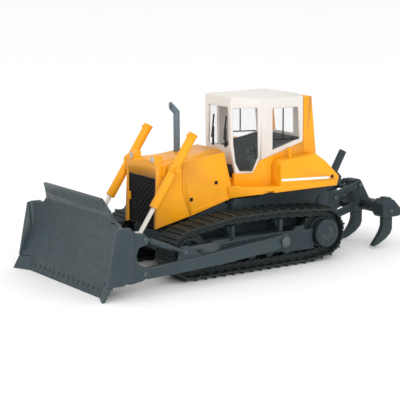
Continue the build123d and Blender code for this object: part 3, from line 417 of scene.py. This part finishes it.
def chain_path(growth, steps=1440):
    """Points round the hull of the wheels, each grown by growth, as (y, z) in mm from the drive axle."""
    points = []
    for step in range(steps):
        angle = 2 * math.pi * step / steps
        normal = (math.cos(angle), math.sin(angle))
        place, radius = max(
            WHEELS, key=lambda wheel: wheel[0][0] * normal[0] + wheel[0][1] * normal[1] + wheel[1])
        reach = radius + growth
        points.append((place[0] + reach * normal[0], place[1] + reach * normal[1]))
    return points


def stations(points, count):
    """count places spaced evenly round a closed path: (y, z, direction angle)."""
    closed = points + points[:1]
    lengths = [0.0]
    for a, b in zip(closed, closed[1:]):
        lengths.append(lengths[-1] + math.dist(a, b))
    found, index = [], 0
    for number in range(count):
        target = (number + 0.5) * lengths[-1] / count
        while lengths[index + 1] < target:
            index += 1
        a, b = closed[index], closed[index + 1]
        share = (target - lengths[index]) / (lengths[index + 1] - lengths[index])
        angle = math.atan2(b[1] - a[1], b[0] - a[0])
        found.append((a[0] + (b[0] - a[0]) * share, a[1] + (b[1] - a[1]) * share, angle))
    return found, lengths[-1] / count


def placer(station):
    """Turns (x, along, outward) at a station of the path into a point in metres."""
    y, z, angle = station
    cos, sin = math.cos(angle), math.sin(angle)

    def place(x, along, outward):
        return Vector((x, DRIVE_Y + y + along * cos + outward * sin, z + along * sin - outward * cos)) * MM

    return place


def make_track(side, side_name):
    """The belt as separate shoes on two rows of chain links."""
    # the path runs anticlockwise seen from +X, so outward is to its right
    places, pitch = stations(chain_path(0.0), SHOES)
    half = pitch / 2
    shoe = [
        (-half + 0.02, 0.12), (half - 0.42, 0.12), (half - 0.25, -0.35), (half + 0.42, -0.35),
        (half + 0.42, -0.08), (half - 0.02, 0.02), (half - 0.12, 0.62),
        (half - 0.5, 0.8), (0.42, 0.8), (0.26, 1.6), (-0.26, 1.6), (-0.42, 0.8),
        (-half + 0.3, 0.8), (-half + 0.02, 0.55)]
    shoes = bmesh.new()
    links = bmesh.new()
    for station in places:
        place = placer(station)
        add_prism(shoes, shoe, side * TRACK_IN, side * TRACK_OUT, place)
        for start, end in RAILS:
            bar = [
                (-half + 0.25, -0.55), (-half + 0.25, -1.9), (-half + 0.7, -2.35), (half - 0.7, -2.35),
                (half - 0.25, -1.9), (half - 0.25, -0.55), (half - 0.8, 0.12), (-half + 0.8, 0.12)]
            add_prism(links, bar, side * start, side * end, place)
            joint = circle(0.72, 14, (half, -1.25))
            add_prism(links, joint, side * (start - 0.22), side * (end + 0.22), place)
    for name, bm, width in (("shoes", shoes, 0.1), ("links", links, 0.06)):
        piece = new_piece(
            f"track_{name}_{side_name}", finish_mesh(bm, f"track_{name}_{side_name}"), "root", "track_black")
        round_edges(piece, width, 2)
        if name == "shoes":
            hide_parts(f"track_belt_{side_name}")


# ------------------------------------------------------------------------------ grille and printed details
STRAND_FACES = (
    (0, 1, 3, 2), (4, 6, 7, 5), (0, 4, 5, 1), (2, 3, 7, 6), (0, 2, 6, 4), (1, 5, 7, 3))


def make_grille():
    """An expanded-metal insert: zigzag strands in front of a dark plate, inside a slim frame."""
    low, high = (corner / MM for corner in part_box("radiator_grille"))
    bm = bmesh.new()

    def place(x, u, v):
        return Vector((x, u, v)) * MM

    back, front = low.y + 0.45, low.y
    plate = [(back, low.z), (high.y, low.z), (high.y, high.z), (back, high.z)]
    add_prism(bm, plate, low.x, high.x, place)
    rim = 0.45
    for start, end in ((low.x, low.x + rim), (high.x - rim, high.x)):
        add_prism(bm, [(front, low.z), (back, low.z), (back, high.z), (front, high.z)], start, end, place)
    for z in (low.z, high.z - rim):
        bar = [(front, z), (back, z), (back, z + rim), (front, z + rim)]
        add_prism(bm, bar, low.x + rim, high.x - rim, place)
    strands, rows, wire = 13, 15, 0.12
    span = (high.x - low.x - 2 * rim) / strands
    rise = (high.z - low.z - 2 * rim) / rows
    for strand in range(strands):
        centre = low.x + rim + (strand + 0.5) * span
        swing = 0.5 * span - wire * 0.4
        for row in range(rows):
            lean = 1 if (row + strand) % 2 else -1
            z = low.z + rim + row * rise
            ends = [(centre - lean * swing, z), (centre + lean * swing, z + rise)]
            corners = []
            for y in (front + 0.1, back + 0.05):
                for x, level in ends:
                    for side in (-wire, wire):
                        corners.append(bm.verts.new(place(x + side, y, level)))
            for a, b, c, d in STRAND_FACES:
                bm.faces.new((corners[a], corners[b], corners[c], corners[d]))
    piece = new_piece("grille_mesh", finish_mesh(bm, "grille_mesh"), "root", "trim_black")
    round_edges(piece, 0.04, 1)
    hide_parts("radiator_grille")


def side_strip(name, outline, x_face, thickness, slot, material=None, width=0.03):
    """A thin raised patch on a face of constant x; outline is (y from the drive axle, z)."""
    bm = bmesh.new()
    add_prism(bm, outline, x_face, x_face + thickness, lambda x, y, z: Vector((x, DRIVE_Y + y, z)) * MM)
    piece = new_piece(name, finish_mesh(bm, name), "root", slot, material)
    round_edges(piece, width, 1)


def make_prints():
    """The stripe and dot on the tanks, and the frame lines printed on the side windows."""
    for side, side_name in ((1, "left"), (-1, "right")):
        tank_x = side * (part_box("side_tank_left")[1].x / MM)
        stripe = [(-17.3, 31.3), (5.1, 30.2), (5.1, 31.1), (-17.3, 32.2)]
        print_x = tank_x - side * 0.02
        dot = circle(0.72, 20, (6.6, 30.9))
        side_strip(f"tank_stripe_{side_name}", stripe, print_x, side * 0.05, "cab_white", "decal_white")
        side_strip(f"tank_dot_{side_name}", dot, print_x, side * 0.07, "trim_black")
        pane_x = side * (14.0 - 0.35)
        post = [(-12.3, 46.2), (-11.7, 46.2), (-11.7, 57.4), (-12.3, 57.4)]
        rail = [(-16.1, 45.8), (-3.6, 45.2), (-3.6, 45.7), (-16.1, 46.3)]
        side_strip(f"window_post_{side_name}", post, pane_x - side * 0.01, side * 0.1, "trim_black")
        side_strip(f"window_rail_{side_name}", rail, pane_x - side * 0.01, side * 0.11, "trim_black")


def make_cab_liner():
    """The dark liner inside the lower walls of the cab."""
    bm = bmesh.new()

    def place(x, y, z):
        return Vector((x, DRIVE_Y + y, z)) * MM

    low, inner, skin = 32.1, 12.86, 0.14
    side_wall = [(-21.6, low), (-3.9, low), (-3.9, 45.2), (-16.4, 43.4), (-21.6, 41.6)]
    for side in (1, -1):
        add_prism(bm, side_wall, side * inner, side * (inner - skin), place)
    rear, front = -3.84, -30.8
    add_prism(bm, [(rear, low), (rear - skin, low), (rear - skin, 46.0), (rear, 46.0)], -12.7, 12.7, place)
    dash = [(front, 34.4), (front + 2.2, 34.4), (front + 2.2, 42.6), (front + 1.2, 43.8), (front, 43.8)]
    add_prism(bm, dash, -7.0, 7.0, place)
    round_edges(new_piece("cab_liner", finish_mesh(bm, "cab_liner"), "root", "interior_dark"), 0.05, 1)


def make_blade_fillers():
    """The strips behind the lower edge of each wing, which close it against the end bit."""
    bm = bmesh.new()
    for side in (1, -1):
        rings = []
        for x, front in ((27.0, -95.6), (32.3, -98.0)):
            rings.append([
                bm.verts.new(Vector((side * x, DRIVE_Y + y, z)) * MM)
                for y, z in ((front, 3.9), (front + 0.8, 3.9), (front + 1.1, 5.8), (front + 0.4, 5.8))])
        near, far = rings
        bm.faces.new(near)
        bm.faces.new(far[::-1])
        for index in range(4):
            after = (index + 1) % 4
            bm.faces.new((near[after], near[index], far[index], far[after]))
    piece = new_piece("blade_fillers", finish_mesh(bm, "blade_fillers"), "blade", "frame_grey")
    round_edges(piece, 0.08, 2)


def make_grille_catch():
    """The small catch at the grille's right-hand edge."""
    low, high = (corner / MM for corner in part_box("radiator_grille"))
    bm = bmesh.new()
    outline = [(low.y - 0.35, 25.6), (low.y + 0.4, 25.6), (low.y + 0.4, 28.5), (low.y - 0.35, 28.5)]
    add_prism(bm, outline, low.x - 0.1, low.x + 1.0, lambda x, y, z: Vector((x, y, z)) * MM)
    round_edges(new_piece("grille_catch", finish_mesh(bm, "grille_catch"), "root", "body_yellow"), 0.12)


# ------------------------------------------------------------------------------ the whole model
EDGE_WIDTHS = {
    "body_yellow": 0.16, "cab_white": 0.4, "trim_black": 0.08, "stack_grey": 0.1, "rod_grey": 0.08,
    "track_black": 0.08, "interior_dark": 0.3, "steel_pin": 0.06, "frame_grey": 0.12, "lamp_silver": 0.08,
}
REBUILT = {"track_belt_left", "track_belt_right", "radiator_grille"}
# painted shade: the chassis tub, track frames, ripper and final drive hubs take a darker copy of the frame
# grey, standing in for the shadow they sit in
PAINTED_SHADE_PARTS = {
    node: "shaded_frame_grey" for node in NODE_SLOT
    if node.startswith(("chassis_tub", "track_frame", "ripper", "final_drive_hub"))}

make_camera()
make_studio()
materials = make_materials()
for node in sorted(frame["nodes"]):
    if node == "cab_glazing":
        pane = new_piece("window_insert", frame["nodes"][node].data.copy(), NODE_BODY[node], NODE_SLOT[node])
        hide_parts(node)
    elif node not in REBUILT:
        moulded(node, EDGE_WIDTHS[NODE_SLOT[node]], material=PAINTED_SHADE_PARTS.get(node))
for side, side_name in ((1, "left"), (-1, "right")):
    make_track(side, side_name)
make_grille()
make_grille_catch()
make_cab_liner()
make_blade_fillers()
make_prints()
